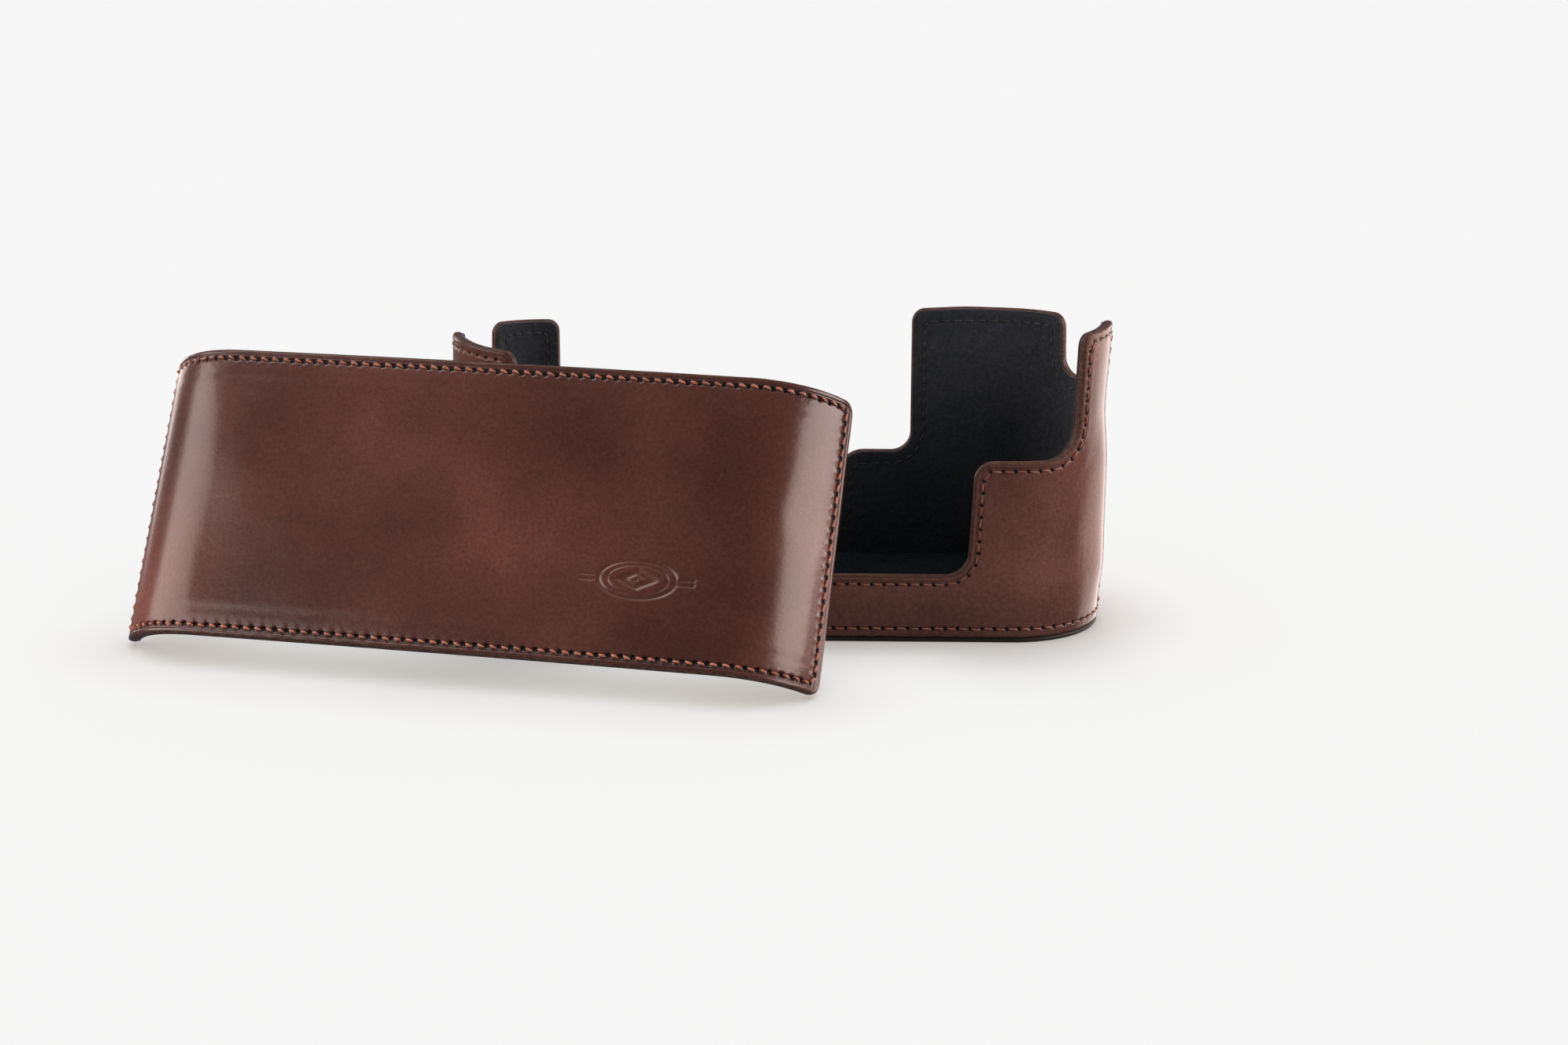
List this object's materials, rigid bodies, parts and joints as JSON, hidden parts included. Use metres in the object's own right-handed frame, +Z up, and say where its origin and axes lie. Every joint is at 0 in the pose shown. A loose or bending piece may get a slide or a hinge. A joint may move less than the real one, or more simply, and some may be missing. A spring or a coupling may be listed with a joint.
{
  "type": "two-piece leather camera ever-ready case",
  "caption": "Stitched leather half-case with suede lining and a captive base screw, with its detached wrap-round front cover leaning against it.",
  "frame": {"origin": "centre of the half-case's sole, on the surface it stands on", "axes": "+X to the right seen from the front, +Y towards the back, +Z up"},
  "size_m": [0.2126, 0.0864, 0.0676],
  "materials": {
    "case_leather": "glossy reddish-brown smooth leather",
    "cover_leather": "glossy dark reddish-brown smooth leather",
    "suede": "matt black microsuede lining",
    "floor_suede": "matt black microsuede lining",
    "thread": "waxed rust-coloured linen thread",
    "sole": "dark burnished sole leather",
    "board": "dense fibreboard",
    "steel": "spring steel",
    "brass": "turned brass",
    "nickel": "nickel plate"
  },
  "bodies": {
    "half_case": {"case_wall_leather": "case_leather", "case_wall_lining": "suede", "case_sole": "sole", "case_base_core": "board", "case_floor_lining": "floor_suede", "case_rim_thread": "thread", "case_rim_thread_inner": "thread", "case_sole_thread": "thread", "screw_bush": "brass", "case_magnet_left": "nickel", "case_magnet_right": "nickel"},
    "front_cover": {"cover_leather": "cover_leather", "cover_stiffener": "board", "cover_lining": "suede", "cover_thread": "thread", "cover_thread_inner": "thread", "cover_magnet_left": "nickel", "cover_magnet_right": "nickel"},
    "screw_clip": {"screw_clip": "steel"},
    "retaining_screw": {"retaining_screw": "nickel"}
  },
  "joints": [
    {"name": "cover_lift", "type": "slide", "parent": "half_case", "child": "front_cover", "axis": [-0.1774, -0.8312, 0.527], "range_m": [0, 0.08]},
    {"name": "clip_lift", "type": "slide", "parent": "half_case", "child": "screw_clip", "axis": [0, 0, 1], "range_m": [0, 0.002]},
    {"name": "screw_turn", "type": "hinge", "parent": "screw_clip", "child": "retaining_screw", "pos_m": [-0.012, 0, 0], "axis": [0, 0, 1], "continuous": true}
  ]
}
